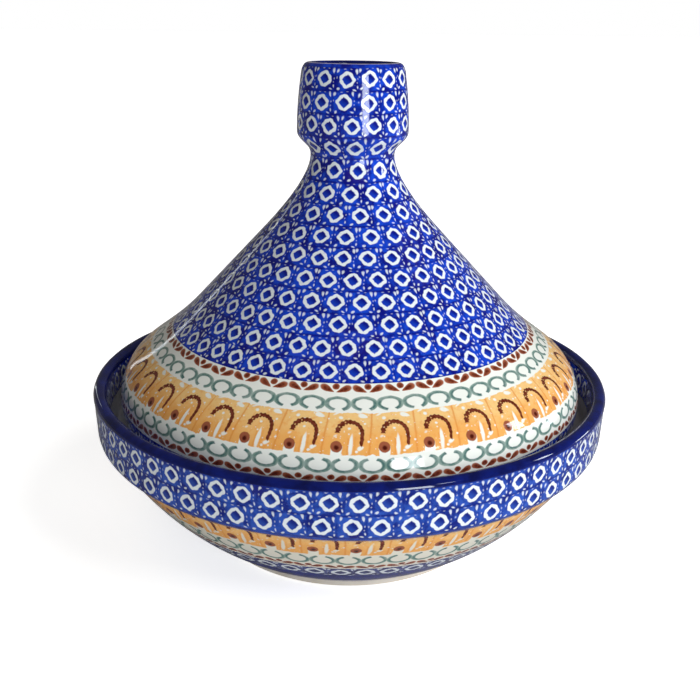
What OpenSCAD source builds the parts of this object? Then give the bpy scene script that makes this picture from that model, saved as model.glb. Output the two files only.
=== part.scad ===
// Stoneware tagine: a shallow footed dish with an upright collar, and a tall cone lid that
// ends in a hollow cup for a knob. The lid stands loose on a ledge inside the collar.
// Millimetres, +Z up. The origin is the middle of the foot, on the table top.

/* [Dish] */
// Outside diameter of the dish, over its lip
rim_d = 300; // [292:1:310]
// Height of the dish, from the table to the top of its lip
dish_h = 98; // [96:1:104]
// Outside diameter of the foot ring
foot_d = 168; // [150:1:180]
// Height at which the bowl turns up into the collar
collar_z = 64; // [61:1:66]
// Thickness of the dish's wall
dish_wall = 7; // [6:0.5:8]
// Height of the ledge that carries the lid
ledge_z = 73; // [72:0.5:75]

/* [Lid] */
// Widest diameter of the lid, at its shoulder
shoulder_d = 270; // [264:1:271]
// Radius of the round shoulder
shoulder_r = 30; // [27:1:33]
// Thickness of the lid's wall
lid_wall = 6.5; // [5:0.5:7]
// Height at which the lid is widest
shoulder_z = 90; // [88:1:92]
// Diameter of the waist, where the cone meets the knob
waist_d = 46.4; // [42:0.4:52]
// Height of the waist
waist_z = 226; // [220:1:240]

/* [Knob] */
// Widest diameter of the knob
knob_d = 61.4; // [58:0.2:66]
// Height of the knob above the waist
knob_h = 48.6; // [44:0.2:56]
// Diameter of the knob's open mouth
mouth_d = 46.5; // [44:0.5:51]
// Thickness of the clay under the knob's hollow
knob_floor = 11; // [9:0.5:14]

/* [Hidden] */
$fn = 144;

// How far the lid stays off the ledge
seat_gap = 0.3;
rim_r = rim_d / 2;
foot_r = foot_d / 2;
waist_r = waist_d / 2;
knob_r = knob_d / 2;
mouth_r = mouth_d / 2;

// Foot: the ring that touches the table, and the hollow inside it
foot_h = 4;
foot_ring = 9;
foot_round = 1.5;
foot_hollow = 3;

// Bowl: how far its flank bows out, and the height of its floor
flank_bow = 7;
floor_z = 10;
floor_round = 25;

// Collar: its rounded lip, how far its faces stand in from the lip, and its lower turn
lip_r = 3.4;
lip_z = dish_h - lip_r;
collar_out = rim_r - 1.2;
collar_in = rim_r - 9.5;
collar_turn = 9;
collar_lean = 2;

// Ledge: its width, the fillet behind it, and the round edge over the bowl
ledge_w = 15;
ledge_in = collar_in - ledge_w;
ledge_fillet = 8;
ledge_round = 3;

// Lid: its round shoulder's centre and where that round starts and ends, then the
// slope of the flare above it and the two ends of the straight cone
arc_x = shoulder_d / 2 - shoulder_r;
tuck_angle = 16;
flare_angle = 36.4;
bend = [arc_x - 5, shoulder_z + 41];
neck = [arc_x - 56, waist_z - 41];
waist_turn = 13;

// Lid's lower edge: how far it stands in from the shoulder, and its chamfer
seat_chamfer = 2.2;
seat_drop = 5;

// Inside the lid: the height below the waist at which the wall closes over
crown_drop = 22;
crown_z = waist_z - waist_turn;
crown_r = 12;

// Knob: the fillet over the waist, the widest level, and the rounded mouth
knob_fillet = 2.2;
barrel_rise = 12.5;
knob_shoulder = 4;
mouth_round = 7;
mouth_lip = 1.2;

// Points along a circle of radius r about c, from angle a to angle b
function arc(c, r, a, b, n = 8) =
    [for (i = [0 : n]) c + r * [cos(a + (b - a) * i / n), sin(a + (b - a) * i / n)]];

// Points along the smooth bend from p to q that aims at corner c
function blend(p, c, q, n = 8) =
    [for (i = [0 : n]) let (t = i / n) (1 - t) * (1 - t) * p + 2 * t * (1 - t) * c + t * t * q];

// The point a share t of the way from p to q
function along(p, q, t) = p + (q - p) * t;

// The left-hand normal of an outline at its point i
function normal(pts, i) =
    let (a = pts[max(i - 1, 0)], b = pts[min(i + 1, len(pts) - 1)], d = (b - a) / norm(b - a))
    [-d[1], d[0]];

// The same outline moved by d to its left, which gives a wall of even thickness
function inset(pts, d) = [for (i = [0 : len(pts) - 1]) pts[i] + d * normal(pts, i)];

function reversed(pts) = [for (i = [len(pts) - 1 : -1 : 0]) pts[i]];

// ---- Dish ----

// The flank of the bowl, from the foot up to the collar, slightly bowed
flank_foot = [foot_r, foot_h];
flank_top = [collar_out - collar_turn + 1.2, collar_z];
flank_mid = along(flank_foot, flank_top, 0.5) + flank_bow * [1, -1];
flank = blend(flank_foot, flank_mid, flank_top, 14);

// The round turn from the flank into the upright collar
turn_start = flank_top + [1, 1];
turn_mid = [collar_out - 0.6, collar_z + collar_turn / 2];
turn_end = [collar_out, collar_z + collar_turn];

dish_outside = concat(
    arc([foot_r - foot_round, foot_round], foot_round, -90, 0, 4),
    flank,
    blend(turn_start, turn_mid, turn_end),
    arc([rim_r - lip_r, lip_z], lip_r, -20, 180, 14)
);

// The inner face of the collar leans out a little above the ledge's fillet
fillet_top = [collar_in + collar_lean, ledge_z + ledge_fillet];
fillet_mid = [collar_in + collar_lean / 2, ledge_z];
fillet_end = [collar_in - ledge_fillet / 2, ledge_z];

// The ledge's edge rounds over and drops into the bowl
edge_start = [ledge_in + ledge_round, ledge_z];
edge_mid = [ledge_in, ledge_z];
edge_end = [ledge_in - 1.2, ledge_z - 5];

// The inside of the bowl keeps an even wall behind the flank, then turns onto the floor
flank_inside = [for (p = inset(flank, dish_wall)) if (p[0] > foot_r - 1 && p[0] < ledge_in - 9) p];
throat_start = edge_end + [-0.6, -2.5];
throat_end = flank_inside[len(flank_inside) - 1];
throat_mid = throat_end + [4.5, 5];
floor_mid = [foot_r - foot_ring, floor_z];
floor_end = floor_mid - [floor_round, 0];

dish_inside = concat(
    blend(fillet_top, fillet_mid, fillet_end, 6),
    blend(edge_start, edge_mid, edge_end, 5),
    blend(throat_start, throat_mid, throat_end, 5),
    [for (i = [len(flank_inside) - 2 : -1 : 1]) flank_inside[i]],
    blend(flank_inside[0], floor_mid, floor_end, 8)
);

module dish() {
    color("royalblue")
    rotate_extrude()
    polygon(concat(
        [[0, foot_hollow], [foot_r - foot_ring - foot_hollow, foot_hollow], [foot_r - foot_ring, 0]],
        dish_outside,
        dish_inside,
        [[0, floor_z]]
    ));
}

// ---- Lid ----

// The outside of the cone, from its tucked-in lower edge up to the waist
flare_top = [arc_x, shoulder_z] + shoulder_r * [sin(flare_angle), cos(flare_angle)];
cone_outside = concat(
    arc([arc_x, shoulder_z], shoulder_r, -tuck_angle, 90 - flare_angle, 18),
    blend(along(flare_top, bend, 0.45), bend, along(bend, neck, 0.2), 10),
    [for (i = [1 : 5]) along(bend, neck, 0.2 + 0.16 * i)],
    blend(along(bend, neck, 1.02), [waist_r, waist_z - waist_turn], [waist_r, waist_z], 12)
);

// The inside keeps an even wall and closes under the waist
cone_inside = [for (p = inset(cone_outside, lid_wall)) if (p[1] < waist_z - crown_drop) p];

// The lower edge is cut flat to stand on the ledge, with its outer corner eased
cone_seat = ledge_z + seat_gap;
seat_inner = [cone_inside[0][0] + 0.5, cone_seat];
seat_outer = [cone_outside[0][0] - seat_chamfer, cone_seat];

module lid_cone() {
    color("orange")
    rotate_extrude()
    polygon(concat(
        [seat_inner, seat_outer],
        [cone_outside[0] - [0.6, seat_drop], cone_outside[0] - [0.3, seat_drop / 2]],
        cone_outside,
        [[0, waist_z]],
        blend([0, crown_z], [crown_r, crown_z], cone_inside[len(cone_inside) - 1], 6),
        reversed(cone_inside)
    ));
}

// ---- Knob ----

knob_top = waist_z + knob_h;
barrel_z = waist_z + barrel_rise;
cup_z = waist_z + knob_floor;

// Outside: a fillet over the waist, a flare, the barrel and the rounded top
flare_start = [waist_r + knob_fillet, waist_z + 2.3 * knob_fillet];
flare_end = [knob_r - 1.8, barrel_z - knob_shoulder];
top_start = [knob_r - 2.2, knob_top - mouth_round];
top_mid = top_start + [-0.8, mouth_round - 0.2];
top_end = [mouth_r + mouth_lip, knob_top];
knob_outside = concat(
    blend([waist_r, waist_z], [waist_r, waist_z + 1.3 * knob_fillet], flare_start, 6),
    blend(flare_end, [knob_r, barrel_z - knob_shoulder / 2], [knob_r, barrel_z], 5),
    blend([knob_r, barrel_z + 1], [knob_r, barrel_z + 14], top_start, 6),
    blend(top_start + [-0.1, 1], top_mid, top_end, 8)
);

// Inside: the mouth's edge, the hollow's wall and its dished floor
hollow_top = [mouth_r - 0.1, knob_top - 2];
hollow_wall = [mouth_r + 0.8, barrel_z + 6];
hollow_end = [mouth_r - 1.5, barrel_z + 2];
knob_inside = concat(
    blend([mouth_r + 0.3, knob_top - 0.2], [mouth_r - 0.2, knob_top - 0.4], hollow_top, 4),
    blend([mouth_r + 0.3, knob_top - 8], hollow_wall, hollow_end, 6),
    blend([mouth_r - 5, cup_z + 2], [mouth_r - 9, cup_z], [mouth_r - 15, cup_z], 5)
);

module lid_knob() {
    color("mediumblue")
    rotate_extrude()
    polygon(concat(
        [[0, waist_z]],
        knob_outside,
        knob_inside,
        [[0, cup_z]]
    ));
}

dish();
lid_cone();
lid_knob();
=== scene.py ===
"""Looks for a hand-stamped stoneware tagine.

Each turned piece is a clay body with thin closed coats of glaze over it, and each coat carries
rows of cells, one for each stamp of the sponge, so that a motif is a formula in its own cell.
Lengths are in metres in the meshes and in millimetres in the materials.
"""
import math
import random

import bpy
import numpy as np
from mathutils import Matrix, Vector


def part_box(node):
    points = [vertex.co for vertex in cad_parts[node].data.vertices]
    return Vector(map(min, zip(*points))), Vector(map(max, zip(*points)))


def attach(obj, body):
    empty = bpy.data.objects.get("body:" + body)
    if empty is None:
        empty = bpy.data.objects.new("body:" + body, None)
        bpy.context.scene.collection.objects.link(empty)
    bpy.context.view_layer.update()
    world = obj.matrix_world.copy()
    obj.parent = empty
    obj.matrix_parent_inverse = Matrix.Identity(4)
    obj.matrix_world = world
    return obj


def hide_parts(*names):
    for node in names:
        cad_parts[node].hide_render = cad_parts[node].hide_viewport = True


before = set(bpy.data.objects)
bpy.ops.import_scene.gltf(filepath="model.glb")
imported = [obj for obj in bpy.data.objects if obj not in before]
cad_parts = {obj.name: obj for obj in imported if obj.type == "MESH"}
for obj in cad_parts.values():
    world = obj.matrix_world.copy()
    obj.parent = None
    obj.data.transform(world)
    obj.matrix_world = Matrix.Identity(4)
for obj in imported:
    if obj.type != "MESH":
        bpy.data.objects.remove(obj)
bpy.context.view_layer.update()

random.seed(7)
MM = 0.001

# ---- Turned shapes ----

COLUMNS = 288  # faces round every turned piece
STEP = 1.6 * MM  # length of a face along an outline
COAT = 0.25 * MM  # how far a glaze stands proud of the clay
BED = 0.35 * MM  # how far a glaze reaches into the clay
SAME_RING = 0.05 * MM  # rings of the CAD mesh that are nearer than this are one
ON_AXIS = 1e-6  # a smaller radius is a point on the axis
CORNER = math.radians(35)  # an outline that turns by more than this has an edge there
SEAM_SPREAD = 0.24  # how far, in turns, the first stamps of two like rows can be apart
INSIDE_ROW = 0.9999  # how far up its last face a row reaches, so that it isn't the next row
UNSEEN_ROW = (0, 0.0, 1.0, 10.0, 0)  # the row of the faces that lie inside the clay


def outline(node):
    """A CAD node's turned outline as (radius, height) points, with its solid on the left."""
    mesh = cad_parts[node].data
    points = np.array([v.co for v in mesh.vertices])
    rings = np.c_[np.hypot(points[:, 0], points[:, 1]), points[:, 2]]
    places, ring_of = np.unique(rings.round(5), axis=0, return_inverse=True)
    same = [int(np.argmax(np.hypot(*(places - p).T) < SAME_RING)) for p in places]
    ring_of = [same[i] for i in ring_of.ravel()]
    links = {}
    for edge in mesh.edges:
        a, b = (ring_of[i] for i in edge.vertices)
        if a != b:
            links.setdefault(a, set()).add(b)
            links.setdefault(b, set()).add(a)
    ends = [i for i in links if len(links[i]) == 1]
    walk = [max(ends, key=lambda i: places[i][0])]
    while True:
        ahead = [i for i in links[walk[-1]] if i not in walk]
        if not ahead:
            break
        walk.append(min(ahead, key=lambda i: np.hypot(*(places[i] - places[walk[-1]]))))
    line = places[walk]
    r, z = line.T
    turning = np.sum(r * np.roll(z, -1) - z * np.roll(r, -1))
    return line if turning > 0 else line[::-1]


class Path:
    """A smooth line through an outline's points, addressed by its length from the start."""

    def __init__(self, points):
        self.points = np.array(points)
        legs = np.diff(self.points, axis=0)
        size = np.hypot(*legs.T)
        way = legs / size[:, None]
        self.at = np.r_[0, np.cumsum(size)]
        before = np.vstack([way[:1], way])
        after = np.vstack([way, way[-1:]])
        w_before = np.r_[size[:1], size][:, None]
        w_after = np.r_[size, size[-1:]][:, None]
        middle = (before * w_after + after * w_before) / (w_before + w_after)
        edge = (np.sum(before * after, axis=1) < math.cos(CORNER))[:, None]
        self.leaving = np.where(edge, after, middle)
        self.arriving = np.where(edge, before, middle)

    @property
    def end(self):
        return float(self.at[-1])

    def place(self, s):
        """The (radius, height) points at lengths s, and the outward normals there."""
        s = np.atleast_1d(s)
        i = np.clip(np.searchsorted(self.at, s, "right") - 1, 0, len(self.at) - 2)
        h = (self.at[i + 1] - self.at[i])[:, None]
        t = (s - self.at[i])[:, None] / h
        p, q = self.points[i], self.points[i + 1]
        m, n = self.leaving[i] * h, self.arriving[i + 1] * h
        where = (2 * t**3 - 3 * t**2 + 1) * p + (t**3 - 2 * t**2 + t) * m
        where = where + (3 * t**2 - 2 * t**3) * q + (t**3 - t**2) * n
        going = (6 * t**2 - 6 * t) * (p - q) + (3 * t**2 - 4 * t + 1) * m + (3 * t**2 - 2 * t) * n
        going = going / np.hypot(*going.T)[:, None]
        return where, np.c_[going[:, 1], -going[:, 0]]

    def find(self, axis, value, after=0.0):
        """The first length past after where the radius (axis 0) or height (axis 1) is value."""
        s = np.arange(after, self.end, 0.2 * MM)
        off = self.place(s)[0][:, axis] - value
        i = int(np.argmax(off[:-1] * off[1:] <= 0))
        return float(s[i] + (s[i + 1] - s[i]) * off[i] / (off[i] - off[i + 1]))

    def height(self, z, after=0.0):
        return self.find(1, z, after)

    def radius(self, r, after=0.0):
        return self.find(0, r, after)


def wobble(r, z, angle):
    """The slight out-of-round of a pot thrown by hand."""
    grow = 0.0011 * np.cos(2 * angle + 0.6) + 0.0007 * np.cos(3 * angle + 2.1 + 9 * z)
    return r * (1 + grow)


def turn(name, loop, normals=None, rows=()):
    """A closed turned mesh from a loop of (radius, height) points.

    rows gives, for each leg of the loop, (material, v at its start, v at its end, cells round,
    first column), which goes to the corner attribute "cell" as (u, v, pitch in millimetres).
    """
    loop = np.array(loop)
    angles = 2 * np.pi * np.arange(COLUMNS) / COLUMNS + np.pi
    vertices, vertex_normals, first = [], [], []
    for i, (r, z) in enumerate(loop):
        first.append(len(vertices))
        pole = r < ON_AXIS
        for angle in angles[:1] if pole else angles:
            across = 0.0 if pole else wobble(r, z, angle)
            vertices.append((across * math.sin(angle), -across * math.cos(angle), z))
            if normals is not None:
                out, up = (0.0, math.copysign(1, normals[i][1])) if pole else normals[i]
                vertex_normals.append((out * math.sin(angle), -out * math.cos(angle), up))
    faces, cells, materials = [], [], []
    for i in range(len(loop)):
        k = (i + 1) % len(loop)
        low_pole, high_pole = loop[i][0] < ON_AXIS, loop[k][0] < ON_AXIS
        if low_pole and high_pole:
            continue
        material, v0, v1, count, start = rows[i] if rows else (0, 0.0, 1.0, 1.0, 0)
        pitch = [2000 * math.pi * loop[n][0] / count for n in (i, k)]
        for j in range(COLUMNS):
            n = (j + 1) % COLUMNS
            u = ((j - start) % COLUMNS) * count / COLUMNS
            w = u + count / COLUMNS
            low = [(first[i] + (0 if low_pole else c), x) for c, x in ((j, u), (n, w))]
            high = [(first[k] + (0 if high_pole else c), x) for c, x in ((n, w), (j, u))]
            corners = [(v, x, v0, pitch[0]) for v, x in (low[:1] if low_pole else low)]
            corners += [(v, x, v1, pitch[1]) for v, x in (high[:1] if high_pole else high)]
            faces.append([c[0] for c in corners])
            cells.extend(c[1:] for c in corners)
            materials.append(material)
    mesh = bpy.data.meshes.new(name)
    mesh.from_pydata(vertices, [], faces)
    mesh.polygons.foreach_set("material_index", materials)
    attribute = mesh.attributes.new("cell", "FLOAT_VECTOR", "CORNER")
    attribute.data.foreach_set("vector", np.array(cells, np.float32).ravel())
    mesh.shade_smooth()
    if normals is None:
        mesh.set_sharp_from_angle(angle=CORNER)
    else:
        mesh.normals_split_custom_set_from_vertices(vertex_normals)
    piece = bpy.data.objects.new(name, mesh)
    bpy.context.scene.collection.objects.link(piece)
    return piece


def clay(name, node, body, material):
    """The clay body of a CAD node, turned from its outline and closed on the axis."""
    line = outline(node)
    path = Path(line)
    corners = [s for s, a, b in zip(path.at, path.leaving, path.arriving) if not np.allclose(a, b)]
    stops = [0.0, *corners, path.end]
    s = np.unique(np.concatenate([
        np.linspace(a, b, max(2, 1 + math.ceil((b - a) / STEP))) for a, b in zip(stops, stops[1:])
    ]).round(7))
    points = list(path.place(s)[0])
    if points[0][0] > ON_AXIS:
        points.insert(0, np.array([0.0, points[0][1]]))
    if points[-1][0] > ON_AXIS:
        points.append(np.array([0.0, points[-1][1]]))
    piece = turn(name, points)
    piece.data.materials.append(material)
    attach(piece, body)
    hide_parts(node)
    return path


class Band:
    """A stretch of a glaze with its own material and its own rows of cells.

    to is where it ends on the path, rows is how many rows of stamps it has, and cell is the
    width of a stamp in millimetres. shift turns the first stamp, as a share of a whole turn.
    loose is how much of the last stamp round is lost under the first. shown is the share of a
    row's height that the band has room for.
    """

    def __init__(self, to, material, rows=1, cell=13.0, shift=0.0, loose=0.0, shown=1.0):
        self.to, self.material, self.rows, self.cell = to, material, rows, cell
        self.shift, self.loose, self.shown = shift, loose, shown


def coat(name, body, path, start, bands):
    """A thin closed coat of glaze over a path, from start through each band in turn."""
    outer, normals, rows, materials = [], [], [], []
    since = start
    for band in bands:
        if band.material not in materials:
            materials.append(band.material)
        for row in range(band.rows):
            a = since + (band.to - since) * row / band.rows
            b = since + (band.to - since) * (row + 1) / band.rows
            middle = path.place((a + b) / 2)[0][0][0]
            count = max(3, round(2000 * math.pi * middle / band.cell)) - band.loose
            turned = band.shift + random.random() * SEAM_SPREAD - SEAM_SPREAD / 2
            first = int(COLUMNS * (turned % 1))
            n = max(2, math.ceil((b - a) / STEP))
            where, out = path.place(np.linspace(a, b, n + 1))
            if outer:
                where, out = where[1:], out[1:]
            outer.extend(where)
            normals.extend(out)
            for i in range(n):
                v = [row + band.shown * share for share in (i / n, (i + INSIDE_ROW) / n)]
                rows.append((materials.index(band.material), *v, count, first))
        since = band.to
    outer, normals = np.array(outer), np.array(normals)
    bed = [(p - BED * m, -m) for p, m in zip(outer, normals)][::-1]
    skin = outer + COAT * normals
    skin[:, 0] = np.maximum(skin[:, 0], 0)
    loop = [*skin, *(np.maximum(p, 0) for p, _ in bed)]
    rows = rows + [UNSEEN_ROW] * (len(loop) - len(rows))
    piece = turn(name, loop, [*normals, *(m for _, m in bed)], rows)
    for material in materials:
        piece.data.materials.append(material)
    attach(piece, body)
    return piece


# ---- Formulas in materials ----


class Field:
    """A number that varies over a surface, so that a motif can be written as a formula."""

    def __init__(self, tree, socket):
        self.tree, self.socket = tree, socket

    def op(self, operation, *others, clamp=False):
        node = self.tree.nodes.new("ShaderNodeMath")
        node.operation, node.use_clamp = operation, clamp
        for slot, value in zip(node.inputs, (self, *others)):
            wire(self.tree, slot, value)
        return Field(self.tree, node.outputs[0])

    def __add__(self, other):
        return self.op("ADD", other)

    def __sub__(self, other):
        return self.op("SUBTRACT", other)

    def __mul__(self, other):
        return self.op("MULTIPLY", other)

    def __truediv__(self, other):
        return self.op("DIVIDE", other)

    def __neg__(self):
        return self.op("MULTIPLY", -1.0)

    def __abs__(self):
        return self.op("ABSOLUTE")

    def low(self, other):
        return self.op("MINIMUM", other)

    def high(self, other):
        return self.op("MAXIMUM", other)

    def ramp(self, start, end, low=0.0, high=1.0):
        """A smooth rise from low to high as the field goes from start to end."""
        node = self.tree.nodes.new("ShaderNodeMapRange")
        node.interpolation_type = "SMOOTHSTEP"
        for slot, value in zip(node.inputs, (self, start, end, low, high)):
            wire(self.tree, slot, value)
        return Field(self.tree, node.outputs[0])


def wire(tree, slot, value):
    if isinstance(value, Field):
        tree.links.new(value.socket, slot)
    else:
        slot.default_value = value


class Plane:
    """A flat place (x, y) in millimetres that varies over a surface."""

    def __init__(self, tree, socket):
        self.tree, self.socket = tree, socket

    @classmethod
    def of(cls, x, y):
        node = x.tree.nodes.new("ShaderNodeCombineXYZ")
        wire(x.tree, node.inputs[0], x)
        wire(x.tree, node.inputs[1], y)
        return cls(x.tree, node.outputs[0])

    def seen_from(self, x, y, width, height, turned=0.0):
        """This place in units of half a width and half a height from (x, y), turned by degrees."""
        node = self.tree.nodes.new("ShaderNodeMapping")
        node.vector_type = "TEXTURE"
        node.inputs["Location"].default_value = (x, y, 0)
        node.inputs["Rotation"].default_value = (0, 0, math.radians(turned))
        node.inputs["Scale"].default_value = (width, height, 1)
        self.tree.links.new(self.socket, node.inputs["Vector"])
        return Plane(self.tree, node.outputs[0])

    def parts(self):
        node = self.tree.nodes.new("ShaderNodeSeparateXYZ")
        self.tree.links.new(self.socket, node.inputs[0])
        return Field(self.tree, node.outputs[0]), Field(self.tree, node.outputs[1])

    def length(self):
        node = self.tree.nodes.new("ShaderNodeVectorMath")
        node.operation = "LENGTH"
        self.tree.links.new(self.socket, node.inputs[0])
        return Field(self.tree, node.outputs["Value"])

    def angle(self):
        """Degrees from the right, anticlockwise, from -180 to 180."""
        x, y = self.parts()
        return y.op("ARCTAN2", x) * (180 / math.pi)

    def oval(self, x, y, rx, ry, turned=0.0):
        """How far this place is outside an oval, about, in millimetres."""
        return (self.seen_from(x, y, rx, ry, turned).length() - 1.0) * min(rx, ry)

    def leaf(self, x, y, rx, ry, turned=0.0, fat=0.6):
        """An oval that is fat at its right-hand end and thin at its left."""
        across, up = self.seen_from(x, y, rx, ry, turned).parts()
        width = (across * fat + 1.0).high(0.12)
        return (Plane.of(across, up / width).length() - 1.0) * min(rx, ry)

    def box(self, x, y, rx, ry, turned=0.0):
        across, up = self.seen_from(x, y, 1, 1, turned).parts()
        return (abs(across) - rx).high(abs(up) - ry)


def inked(distance, soft=0.22):
    """1 where a distance is inside, with a soft edge."""
    return distance.ramp(soft, -soft)


def either(*masks):
    found = masks[0]
    for mask in masks[1:]:
        found = found.high(mask)
    return found


class Paint:
    """A material under construction: its cells, its noises, and its layers of colour."""

    def __init__(self, name):
        self.material = bpy.data.materials.new(name)
        self.material.use_nodes = True
        self.tree = self.material.node_tree
        self.shader = self.tree.nodes["Principled BSDF"]
        place = self.tree.nodes.new("ShaderNodeTexCoord")
        self.place = place.outputs["Object"]
        self.seed = 0.0

    def noise(self, size, detail=2.0, rough=0.5, warp=0.0):
        """Noise with patches about size millimetres across, from 0 to 1."""
        node = self.tree.nodes.new("ShaderNodeTexNoise")
        node.inputs["Scale"].default_value = 1000 / size
        node.inputs["Detail"].default_value = detail
        node.inputs["Roughness"].default_value = rough
        node.inputs["Distortion"].default_value = warp
        self.tree.links.new(self.place, node.inputs["Vector"])
        return node

    def mottle(self, size, detail=2.0, rough=0.5, warp=0.0):
        return Field(self.tree, self.noise(size, detail, rough, warp).outputs["Fac"])

    def specks(self, spacing, radius, share):
        """Small round specks about spacing millimetres apart, on a share of the places."""
        node = self.tree.nodes.new("ShaderNodeTexVoronoi")
        node.inputs["Scale"].default_value = 1000 / spacing
        self.tree.links.new(self.place, node.inputs["Vector"])
        hue = self.tree.nodes.new("ShaderNodeSeparateColor")
        self.tree.links.new(node.outputs["Color"], hue.inputs[0])
        distance = Field(self.tree, node.outputs["Distance"])
        chosen = Field(self.tree, hue.outputs[0]).ramp(share, share - 0.02)
        return distance.ramp(radius / spacing * 1.3, radius / spacing * 0.7) * chosen

    def cells(self, height, shake=0.35, skew=0.06, ragged=0.5):
        """The place in each stamp's own cell, and three random numbers for that stamp.

        shake is how far a stamp is off its place in millimetres, skew how far it is turned,
        and ragged how far its edges wander.
        """
        node = self.tree.nodes.new("ShaderNodeAttribute")
        node.attribute_name = "cell"
        parts = self.tree.nodes.new("ShaderNodeSeparateXYZ")
        self.tree.links.new(node.outputs["Vector"], parts.inputs[0])
        u, v, pitch = (Field(self.tree, parts.outputs[i]) for i in range(3))
        x = (u.op("FRACT") - 0.5) * pitch
        y = (v.op("FRACT") - 0.5) * height
        white = self.tree.nodes.new("ShaderNodeTexWhiteNoise")
        white.noise_dimensions = "3D"
        index = self.tree.nodes.new("ShaderNodeCombineXYZ")
        wire(self.tree, index.inputs[0], u.op("FLOOR"))
        wire(self.tree, index.inputs[1], v.op("FLOOR"))
        index.inputs[2].default_value = height
        self.tree.links.new(index.outputs[0], white.inputs["Vector"])
        hue = self.tree.nodes.new("ShaderNodeSeparateColor")
        self.tree.links.new(white.outputs["Color"], hue.inputs[0])
        chance = [Field(self.tree, hue.outputs[i]) for i in range(3)]
        drift = self.tree.nodes.new("ShaderNodeSeparateColor")
        self.tree.links.new(self.noise(2.6, 2.0).outputs["Color"], drift.inputs[0])
        wander = [(Field(self.tree, drift.outputs[i]) - 0.5) * (2 * ragged) for i in range(2)]
        lean = (chance[2] - 0.5) * (2 * skew)
        across = x + lean * y + (chance[0] - 0.5) * (2 * shake) + wander[0]
        up = y - lean * x + (chance[1] - 0.5) * (2 * shake) + wander[1]
        self.pitch = pitch
        self.edge_x = (abs(x) - pitch * 0.5) * -1.0
        self.edge_y = (abs(y) - height / 2) * -1.0
        return Plane.of(across, up), chance

    def mix(self, share, below, above):
        """A colour that goes from below to above as share goes from 0 to 1."""
        node = self.tree.nodes.new("ShaderNodeMix")
        node.data_type = "RGBA"
        wire(self.tree, node.inputs["Factor"], share)
        for slot, colour in ((node.inputs[6], below), (node.inputs[7], above)):
            if isinstance(colour, tuple):
                slot.default_value = (*colour, 1)
            else:
                self.tree.links.new(colour, slot)
        return node.outputs[2]

    def finish(self, colour, roughness, bump=None, strength=0.0, depth=0.0):
        """Joins the colour, the roughness and a bump of some depth in millimetres to the shader."""
        self.tree.links.new(colour, self.shader.inputs["Base Color"])
        wire(self.tree, self.shader.inputs["Roughness"], roughness)
        if bump is not None:
            node = self.tree.nodes.new("ShaderNodeBump")
            node.inputs["Strength"].default_value = strength
            node.inputs["Distance"].default_value = depth * MM
            wire(self.tree, node.inputs["Height"], bump)
            self.tree.links.new(node.outputs["Normal"], self.shader.inputs["Normal"])
        return self.material


def srgb(red, green, blue):
    """A colour from its 0 to 255 display values."""
    return tuple((c / 255) ** 2.2 for c in (red, green, blue))


WHITE = srgb(236, 238, 232)
STAMP_WHITE = srgb(226, 232, 236)
CREAM = srgb(226, 222, 208)
COBALT = srgb(20, 66, 196)
NAVY = srgb(6, 20, 122)
DEEP_NAVY = srgb(8, 18, 70)
PALE_BLUE = srgb(92, 116, 204)
SLATE = srgb(70, 80, 134)
DUSK = srgb(50, 52, 100)
BRIGHT_BLUE = srgb(44, 82, 178)
STRONG_BLUE = srgb(14, 34, 120)
PURPLE = srgb(70, 40, 110)
TEAL = srgb(44, 90, 90)
SAGE = srgb(124, 152, 142)
YELLOW = srgb(240, 196, 128)
ORANGE = srgb(234, 168, 92)
FOLD_ORANGE = srgb(222, 138, 62)
DAPPLE_ORANGE = srgb(230, 150, 74)
BROWN = srgb(96, 40, 26)
RUSSET = srgb(158, 88, 62)
ARCH_RED = srgb(140, 74, 56)
EYE_TAN = srgb(150, 84, 60)
EYE_DARK = srgb(74, 24, 14)
BISCUIT = srgb(236, 226, 212)
BISCUIT_DARK = srgb(222, 209, 190)
FRECKLE = srgb(128, 100, 78)
LIP_THIN = srgb(14, 30, 104)
FOOT_BLUE = srgb(10, 24, 108)
FOOT_THIN = srgb(24, 46, 138)
MOUTH_BAND_WHITE = srgb(216, 206, 226)
MOUTH_BAND_LILAC = srgb(176, 172, 208)


GLASSY, DULLER = 0.035, 0.09  # roughness of a glaze, and of its duller patches
RELIEF, RELIEF_DEPTH = 0.35, 0.14  # strength of a glaze's bump, and its height in millimetres


def ripple(paint):
    """The faint unevenness of a poured glaze."""
    return paint.mottle(14.0, 2.0) + paint.mottle(3.2, 2.0) * 0.25


def glazed(paint, colour, bump):
    """The finished material of a glaze of this colour: glassy, with duller patches."""
    roughness = paint.mottle(9.0, 3.0).ramp(0.35, 0.75, GLASSY, DULLER)
    return paint.finish(colour, roughness, bump, RELIEF, RELIEF_DEPTH)


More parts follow.
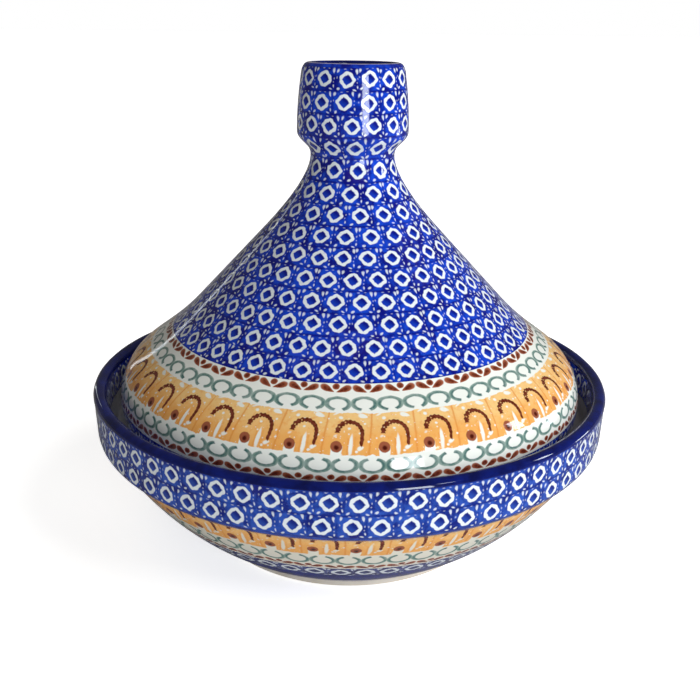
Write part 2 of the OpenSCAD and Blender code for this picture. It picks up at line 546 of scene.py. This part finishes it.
def cobalt_stamps(name, height, bright=COBALT, dark=NAVY, lines=1.0):
    """Square stamps side by side: a lumpy white ring about a blue lozenge, with corner dabs.

    Inside a stamp, lengths are shares of its height. lines is how strong its edges are.
    """
    paint = Paint(name)
    at, chance = paint.cells(height)
    unit = at.seen_from(0, 0, height, height)
    # The ring, whose outside follows the lozenge inside it
    lozenge_turn = 40
    radians = math.pi / 180
    polar = unit.angle()
    reach = unit.length()
    lobes = (polar * (4 * radians) + 0.35).op("COSINE") * 0.017
    lumps = (polar * (7 * radians) + chance[0] * 4.0).op("COSINE") * 0.014
    outside = reach - (lobes + lumps + 0.338)
    a, b = unit.seen_from(0, 0, 1, 1, lozenge_turn).parts()
    inside = abs(a).high(abs(b)) * 0.8 + (abs(a) + abs(b)) * 0.12 - 0.172
    ring = inked(outside, 0.02) * inked(-inside, 0.02)
    dabs = either(
        inked(unit.leaf(0.405, 0.36, 0.105, 0.048, 100, 0.4), 0.02),
        inked(unit.leaf(-0.415, 0.37, 0.082, 0.046, 70, 0.3), 0.024),
        inked(unit.oval(-0.385, -0.395, 0.07, 0.045, 35), 0.02),
        inked(unit.oval(0.33, -0.42, 0.066, 0.032, -20), 0.02),
        inked(unit.leaf(0.465, -0.30, 0.06, 0.028, 95, 0.2), 0.018),
    )
    faint = either(
        inked(unit.oval(0.455, 0.05, 0.026, 0.038), 0.016),
        inked(unit.oval(0.44, -0.12, 0.024, 0.03), 0.016),
        inked(unit.oval(-0.455, 0.09, 0.026, 0.04), 0.016),
        inked(unit.oval(-0.10, 0.445, 0.05, 0.02), 0.014),
        inked(unit.oval(0.16, 0.455, 0.04, 0.018), 0.014),
    )
    # The ground: mottled, darker where two stamps overlap
    cloud = paint.mottle(8.0, 4.0, 0.6, 0.4)
    tone = (cloud + (chance[2] - 0.5) * 0.07).ramp(0.36, 0.62)
    ground = paint.mix(tone, dark, bright)
    bruise = paint.mottle(34.0, 2.0).ramp(0.56, 0.70, 0.0, 0.16)
    ground = paint.mix(bruise, ground, PURPLE)
    seam = either(paint.edge_x.ramp(0.9, 0.1) * 0.55, paint.edge_y.ramp(1.1, 0.1))
    seam = seam * paint.mottle(5.0, 2.0).ramp(0.35, 0.6, 0.25, 0.9 * lines)
    ground = paint.mix(seam, ground, dark)
    streaks = paint.mottle(1.5, 3.0, 0.6).ramp(0.60, 0.74, 0.0, 0.32)
    ground = paint.mix(streaks, ground, PALE_BLUE)
    # The lozenge is paler at its upper left and dark at its lower right
    down_right = a * 0.9 + b * 0.25
    pool = down_right.ramp(-0.12, 0.14, 0.35, 1.0)
    heart = paint.mix(pool, bright, dark)
    ground = paint.mix(inked(inside, 0.014), ground, heart)
    marks = either(ring, dabs * 0.82, faint * 0.42)
    marks = marks * paint.mottle(2.2, 3.0).ramp(0.2, 0.45, 0.86, 1.0)
    colour = paint.mix(marks, ground, STAMP_WHITE)
    return glazed(paint, colour, ripple(paint) - ring.high(dabs) * 0.5)


def sprigs(name, height, lift=0.0, ground=WHITE, squash=1.0):
    """A row of two brown leaves in a V, with a berry above them.

    lift moves them up in their cell, in millimetres, and squash is their share of full height.
    """
    paint = Paint(name)
    at = paint.cells(height, 0.25, 0.05, 0.3)[0].seen_from(0, 0, 1, squash)
    right = at.leaf(4.0, lift, 3.8, 1.55, 26)
    left = at.leaf(-4.0, lift, 3.8, 1.55, 154)
    leaves = right.low(left)
    berry = at.oval(0.1, 1.45 + lift, 1.8, 1.7)
    shape = leaves.low(berry)
    shade = shape.ramp(-0.15, -1.0) * paint.mottle(1.6, 2.0).ramp(0.3, 0.6, 0.6, 1.0)
    brown = paint.mix(shade, RUSSET, BROWN)
    colour = paint.mix(inked(shape, 0.2), ground, brown)
    return glazed(paint, colour, ripple(paint))


def rings(name, height, width, open_at, ground=WHITE):
    """A row of green rings, each open at one side, open_at degrees from the right."""
    paint = Paint(name)
    at = paint.cells(height, 0.2, 0.05, 0.35)[0]
    half_w, half_h, stroke = width / 2 - 0.75, height / 2 - 1.15, 0.98
    seen = at.seen_from(0, 0, half_w, half_h)
    off = (seen.length() - 1.0) * ((half_w + half_h) / 2)
    turned = seen.seen_from(0, 0, 1, 1, open_at)
    gap = abs(turned.angle()).ramp(17, 25)
    line = inked(abs(off) - stroke, 0.3) * gap
    near_gap = abs(turned.angle()).ramp(75, 25)
    core = inked(abs(off + 0.3) - 0.5, 0.5)
    dark = (core * 0.75 + near_gap * 0.35) * paint.mottle(2.0, 3.0).ramp(0.3, 0.6, 0.55, 1.0)
    green = paint.mix(dark, SAGE, TEAL)
    wash = paint.mottle(3.0, 3.0).ramp(0.3, 0.6, 0.82, 1.0)
    colour = paint.mix(line * wash, ground, green)
    return glazed(paint, colour, ripple(paint))


def arches(name, height, ground=WHITE):
    """A broad yellow row: in each cell a beaded brown arch, a white stroke and a brown eye."""
    paint = Paint(name)
    at = paint.cells(height, 0.3, 0.03, 0.35)[0]
    x, y = at.parts()
    half = height / 2
    # The yellow field, with ragged edges and a white notch under the eye
    fray = paint.mottle(3.0, 2.0) * 1.6
    field = (abs(y) + fray - half).ramp(0.25, -0.05)
    notch = inked(at.box(-7.2, -half + 1.6, 2.6, 3.4, -6), 0.3)
    warm = (y / height + paint.mottle(12.0, 3.0) * 0.9).ramp(0.15, 0.75)
    yellow = paint.mix(warm, ORANGE, YELLOW)
    folds = either(
        inked(at.box(9.1, 0.0, 0.42, half, -4), 0.5),
        inked(at.box(-1.9, -7.0, 0.3, 4.2, -6), 0.5) * 0.8,
        inked(at.box(1.5, -6.0, 0.3, 4.0, -3), 0.5) * 0.6,
    )
    yellow = paint.mix(folds * 0.8, yellow, FOLD_ORANGE)
    dapple = paint.mottle(2.4, 4.0, 0.65).ramp(0.48, 0.68, 0.0, 0.5)
    yellow = paint.mix(dapple, yellow, DAPPLE_ORANGE)
    # White left bare by the stamp
    bare = either(
        inked(at.leaf(-0.3, -6.0, 5.2, 0.95, 84, -0.15), 0.25),
        inked(at.leaf(5.5, 9.2, 2.4, 1.15, 160, 0.3), 0.25),
        inked(at.oval(-5.0, 8.3, 0.95, 0.85), 0.25),
        inked(at.oval(-7.0, 10.4, 1.5, 0.4, 25), 0.25),
        inked(at.oval(-1.0, 2.4, 0.7, 0.6), 0.25),
        inked(at.leaf(4.3, -7.6, 1.6, 0.9, 200, 0.3), 0.3),
        inked(at.oval(2.3, -9.2, 0.7, 0.6), 0.25),
        inked(at.oval(8.2, -4.4, 0.55, 0.5), 0.25),
        inked(at.oval(6.4, 4.9, 0.6, 0.5), 0.25),
        inked(at.oval(-7.6, -1.6, 0.9, 0.5, 30), 0.3) * 0.7,
        paint.specks(3.2, 0.46, 0.75) * 0.85,
        paint.specks(2.0, 0.28, 0.6) * 0.65,
    )
    cover = (field * (notch.op("MULTIPLY", -1.0) + 1.0)) * (bare * -0.95 + 1.0)
    colour = paint.mix(cover, ground, yellow)
    # The arch: a beaded stroke from the left round over the top to the lower right. It follows
    # an oval whose lower half is drawn out, and way is how far round it a place is
    seen = at.seen_from(-0.8, -0.6, 5.9, 6.6)
    across, up = seen.parts()
    straight = Plane.of(across, up.high(0.0) + up.low(0.0) * 0.55)
    off = (straight.length() - 1.0) * 6.2
    way = seen.seen_from(0, 0, 1, 1, 65).angle()
    beads = (way * (20 * math.pi / 180)).op("SINE") * 0.24 * way.ramp(-60, 60, 0.4, 1.0)
    thick = way.ramp(-112, -70, 0.7, 1.0) + way.ramp(0, 70) * 0.2
    arch = inked(abs(off) - thick - beads, 0.2) * abs(way).ramp(113, 109)
    holes = inked(abs(off) - 0.35, 0.2) * (way * (10 * math.pi / 180)).op("SINE").ramp(0.7, 0.95)
    holes = holes * way.ramp(20, 50)
    # The eye at the arch's foot, with a dark core
    eye = at.oval(-7.1, -7.0, 2.75, 2.8)
    core = inked(at.oval(-7.0, -7.4, 1.15, 1.15), 0.6)
    wet = paint.mottle(1.5, 2.0).ramp(0.35, 0.65, 0.55, 1.0)
    arch_brown = paint.mix(wet, ARCH_RED, BROWN)
    eye_brown = paint.mix(core, EYE_TAN, EYE_DARK)
    colour = paint.mix(arch * (holes * -0.8 + 1.0), colour, arch_brown)
    colour = paint.mix(inked(eye, 0.25), colour, eye_brown)
    return glazed(paint, colour, ripple(paint) + cover * 0.15)


def plain_glaze(name, thick, thin, size=16.0):
    """A poured glaze of one colour, paler where it is thin."""
    paint = Paint(name)
    tone = paint.mottle(size, 4.0, 0.55, 0.3).ramp(0.3, 0.7)
    streak = paint.mottle(2.4, 3.0).ramp(0.5, 0.8, 0.0, 0.35)
    colour = paint.mix(streak, paint.mix(tone, thick, thin), thin)
    return glazed(paint, colour, ripple(paint))


def bare_clay(name):
    """Unglazed stoneware: matt, fine-grained and faintly freckled."""
    paint = Paint(name)
    tone = paint.mottle(20.0, 5.0, 0.6).ramp(0.3, 0.7)
    colour = paint.mix(tone, BISCUIT_DARK, BISCUIT)
    colour = paint.mix(paint.specks(2.6, 0.22, 0.25) * 0.6, colour, FRECKLE)
    grain = paint.mottle(0.9, 4.0, 0.7)
    return paint.finish(colour, grain.ramp(0.2, 0.8, 0.68, 0.9), grain, 0.5, 0.12)


# ---- The pot ----

clay_material = bare_clay("unglazed_clay")
white_glaze = plain_glaze("inner_white_glaze", WHITE, CREAM)
lip_blue = plain_glaze("lip_navy", DEEP_NAVY, LIP_THIN, 11.0)
foot_blue = plain_glaze("foot_blue", FOOT_BLUE, FOOT_THIN, 9.0)

dish = clay("dish_clay", "dish", "dish", clay_material)
lid = clay("lid_clay", "lid_cone", "lid", clay_material)
knob = clay("knob_clay", "lid_knob", "lid", clay_material)

dish_top = dish.points[:, 1].max()
lip_out = dish.height(dish_top - 2.9 * MM)
lip_top = float(dish.at[np.argmax(dish.points[:, 1])])
lip_in = dish.height(dish_top - 4.2 * MM, lip_top + MM)
ledge_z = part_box("lid_cone")[0].z
shoulder_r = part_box("lid_cone")[1].x
waist_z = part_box("lid_knob")[0].z

# Dish, outside, from the foot up: where each band ends, in millimetres above the table
FOOT_CLAY_TOP = 3.8
FOOT_BLUE_TOP = 26.0
FLANK_STAMPS_TOP = 36.4
FLANK_SPRIGS_TOP = 41.4
FLANK_RINGS_TOP = 51.0
COLLAR_LOW = 66.0
COLLAR_ROW = 12.7  # height of a row of stamps on the collar

foot_edge = dish.height(FOOT_CLAY_TOP * MM, 0.012)
collar_low = dish.height(COLLAR_LOW * MM)
flank_stamps = cobalt_stamps("flank_stamps", 14.6, SLATE, DUSK, 0.3)
flank_sprigs = sprigs("flank_sprigs", 6.6, -0.2, CREAM)
flank_rings = rings("flank_rings", 12.2, 12.6, 90, CREAM)
flank_arches = arches("flank_arches", 27.0, CREAM)
coat("dish_flank_glaze", "dish", dish, foot_edge, [
    Band(dish.height(FOOT_BLUE_TOP * MM), foot_blue),
    Band(dish.height(FLANK_STAMPS_TOP * MM), flank_stamps, 1, 12.8),
    Band(dish.height(FLANK_SPRIGS_TOP * MM), flank_sprigs, 1, 15.4, 0.3),
    Band(dish.height(FLANK_RINGS_TOP * MM), flank_rings, 1, 12.6, 0.1),
    Band(collar_low, flank_arches, 1, 20.9, 0.604, 0.0, 0.7),
])
collar_edge = plain_glaze("collar_edge_blue", BRIGHT_BLUE, STRONG_BLUE, 9.0)
collar_stamps = cobalt_stamps("collar_stamps", COLLAR_ROW, BRIGHT_BLUE, STRONG_BLUE)
coat("dish_collar_glaze", "dish", dish, collar_low, [
    Band(lip_out - 2 * COLLAR_ROW * MM, collar_edge),
    Band(lip_out, collar_stamps, 2, 13.7, 0.4),
])
coat("dish_lip_glaze", "dish", dish, lip_out, [Band(lip_in, lip_blue)])
inner_end = dish.height(ledge_z + 7 * MM, lip_in)
coat("dish_inner_collar_glaze", "dish", dish, lip_in, [
    Band(inner_end, cobalt_stamps("inner_collar_stamps", 13.0), 1, 13.2, 0.2),
])
coat("dish_inner_glaze", "dish", dish, inner_end, [Band(dish.end, white_glaze)])

# Lid, outside, from its lower edge up: where each band ends, in millimetres above the table
FLANGE_TOP = 91.0
LOWER_SPRIGS_TOP = 96.0
LOWER_RINGS_TOP = 103.7
LID_ARCHES_TOP = 119.4
CONE_FOOT = 129.0
UPPER_SPRIGS = 6.6  # height of the row of sprigs under the cone's stamps

edge_face = lid.height(ledge_z + 0.5 * MM, lid.end * 0.5) - 6 * MM
tuck = lid.radius(shoulder_r - 4.6 * MM, edge_face)
cone_foot = lid.height(CONE_FOOT * MM, tuck)
flange_stamps = cobalt_stamps("flange_stamps", 12.5)
lower_sprigs = sprigs("lower_sprigs", 5.2, 0.0, WHITE, 0.8)
lower_rings = rings("lower_rings", 9.0, 12.9, 90)
lid_arches = arches("lid_arches", 23.2)
upper_rings = rings("upper_rings", 9.0, 12.5, -84)
upper_sprigs = sprigs("upper_sprigs", UPPER_SPRIGS)
coat("lid_border_glaze", "lid", lid, tuck, [
    Band(lid.height(FLANGE_TOP * MM, tuck), flange_stamps, 1, 12.9, 0.5),
    Band(lid.height(LOWER_SPRIGS_TOP * MM, tuck), lower_sprigs, 1, 15.5, 0.4),
    Band(lid.height(LOWER_RINGS_TOP * MM, tuck), lower_rings, 1, 12.9, 0.694),
    Band(lid.height(LID_ARCHES_TOP * MM, tuck), lid_arches, 1, 21.6, 0.458),
    Band(cone_foot - UPPER_SPRIGS * MM, upper_rings, 1, 12.5, 0.308),
    Band(cone_foot, upper_sprigs, 1, 15.9, 0.15),
])
coat("lid_cone_glaze", "lid", lid, cone_foot, [
    Band(lid.end, cobalt_stamps("cone_stamps", 12.8), 10, 12.9, 0.0, 0.3),
])
coat("lid_inner_glaze", "lid", lid, 0.0, [
    Band(lid.height(ledge_z + 2 * MM), white_glaze),
])

# Knob: one row on the flare, three on the barrel, then the mouth with a pale band round its edge
mouth = float(knob.at[np.argmax(knob.points[:, 1])])
pale_band_from, pale_band_to = mouth - 1.0 * MM, mouth + 0.8 * MM
knob_stamps = cobalt_stamps("knob_stamps", 12.0)
coat("knob_glaze", "lid", knob, 0.0, [
    Band(knob.height(waist_z + 12 * MM), cobalt_stamps("knob_chamfer_stamps", 13.0), 1, 12.4),
    Band(mouth - 3.4 * MM, knob_stamps, 3, 12.2),
    Band(pale_band_from, plain_glaze("mouth_edge_blue", COBALT, NAVY, 6.0)),
])
# Inside the mouth: a pale band round its edge, then the dark lip glaze down the inside
coat("knob_inner_glaze", "lid", knob, pale_band_from, [
    Band(pale_band_to, plain_glaze("pale_mouth_band", MOUTH_BAND_WHITE, MOUTH_BAND_LILAC, 5.0)),
    Band(knob.end, lip_blue),
])


# ---- Camera, floor and light ----

CAMERA_PLACE = (-0.038, -0.5137, 0.2938)
CAMERA_TARGET = (0.0, 0.0, 0.1096)
CAMERA_ROLL = 0.0128
LENS, SENSOR = 46.8, 36.0  # millimetres
FLOOR_HALF = 30.0
WINDOW_WHITE = (0.88, 0.95, 1.0)
WALL_WHITE = (1.0, 0.95, 0.90)
WALL_GLOW = 0.125


def aim(thing, place, target, roll=0.0):
    """Puts a camera or a lamp at place and points it at target."""
    thing.location = place
    thing.rotation_euler = (Vector(target) - Vector(place)).to_track_quat("-Z", "Y").to_euler()
    thing.rotation_euler.rotate_axis("Z", roll)


lens = bpy.data.cameras.new("camera")
lens.lens, lens.sensor_width = LENS, SENSOR
camera = bpy.data.objects.new("camera", lens)
bpy.context.scene.collection.objects.link(camera)
bpy.context.scene.camera = camera
aim(camera, CAMERA_PLACE, CAMERA_TARGET, CAMERA_ROLL)

floor_mesh = bpy.data.meshes.new("floor")
corners = [(x * FLOOR_HALF, y * FLOOR_HALF, 0) for x, y in ((-1, -1), (1, -1), (1, 1), (-1, 1))]
floor_mesh.from_pydata(corners, [], [(0, 1, 2, 3)])
floor = bpy.data.objects.new("floor", floor_mesh)
bpy.context.scene.collection.objects.link(floor)

# White paper, which is brighter to the camera and darker in the glaze than its light makes it
floor_paint = Paint("floor")
floor_ray = floor_paint.tree.nodes.new("ShaderNodeLightPath")
seen_straight = Field(floor_paint.tree, floor_ray.outputs["Is Camera Ray"])
mirrored = Field(floor_paint.tree, floor_ray.outputs["Is Glossy Ray"])
paper = floor_paint.mix(floor_paint.mottle(60.0, 2.0), (0.84, 0.84, 0.84), (0.87, 0.87, 0.87))
paper = floor_paint.mix(mirrored * 0.8, paper, (0.2, 0.19, 0.18))
floor_mesh.materials.append(floor_paint.finish(paper, 0.9))
floor_glow = seen_straight * 0.60 + 0.14 - mirrored * 0.12
wire(floor_paint.tree, floor_paint.shader.inputs["Emission Strength"], floor_glow)
floor_paint.shader.inputs["Emission Color"].default_value = (1, 1, 1, 1)
floor_paint.shader.inputs["Specular IOR Level"].default_value = 0.1


def window(name, place, target, width, height, glow):
    """A bright panel that shows in the glaze. glow is how bright it is to look at."""
    light = bpy.data.lights.new(name, "AREA")
    light.shape, light.size, light.size_y = "RECTANGLE", width, height
    light.energy, light.color = glow * math.pi * width * height, WINDOW_WHITE
    lamp = bpy.data.objects.new(name, light)
    bpy.context.scene.collection.objects.link(lamp)
    aim(lamp, place, target)


def soft_sun(name, place, strength, spread, colour):
    """A soft light from place, over spread degrees of sky, which the glaze doesn't mirror."""
    light = bpy.data.lights.new(name, "SUN")
    light.energy, light.angle, light.color = strength, math.radians(spread), colour
    lamp = bpy.data.objects.new(name, light)
    bpy.context.scene.collection.objects.link(lamp)
    lamp.visible_glossy = False
    aim(lamp, place, (0, 0, 0))


soft_sun("key", (0.95, -0.55, 0.85), 2.0, 36, (1.0, 0.99, 0.96))
soft_sun("fill", (-0.5, -0.9, 0.4), 0.08, 90, (1.0, 0.88, 0.74))
soft_sun("back", (0.5, 1.0, 0.5), 0.4, 40, (1.0, 0.97, 0.92))
window("window_front_right", (0.56, -1.44, 0.36), (0, 0, 0.2), 0.36, 0.60, 14)
window("window_right", (1.15, 0.22, 0.08), (0, 0, 0.1), 0.22, 0.12, 10)
window("window_back_left", (-0.95, 1.35, 0.30), (0, 0, 0.1), 0.05, 0.9, 2.4)
window("window_far_right", (1.41, -0.2, 0.66), (0, 0, 0.2), 0.16, 0.34, 16)
window("window_high_right", (0.77, -1.06, 0.83), (0, 0, 0.1), 0.16, 0.10, 16)

world = bpy.data.worlds.new("studio")
bpy.context.scene.world = world
world.use_nodes = True
tree = world.node_tree
ray = tree.nodes.new("ShaderNodeLightPath")


def sky(colour, strength):
    """A background of one colour."""
    node = tree.nodes.new("ShaderNodeBackground")
    node.inputs["Color"].default_value = (*colour, 1)
    node.inputs["Strength"].default_value = strength
    return node.outputs[0]


def choose(switch, below, above):
    """above for the rays that switch names, and below for the others."""
    node = tree.nodes.new("ShaderNodeMixShader")
    for slot, value in zip(node.inputs, (ray.outputs[switch], below, above)):
        tree.links.new(value, slot)
    return node.outputs[0]


backdrop = choose("Is Camera Ray", sky(WALL_WHITE, WALL_GLOW), sky((1, 1, 1), 1.0))
tree.links.new(backdrop, tree.nodes["World Output"].inputs["Surface"])

bpy.context.scene.view_settings.view_transform = "Standard"
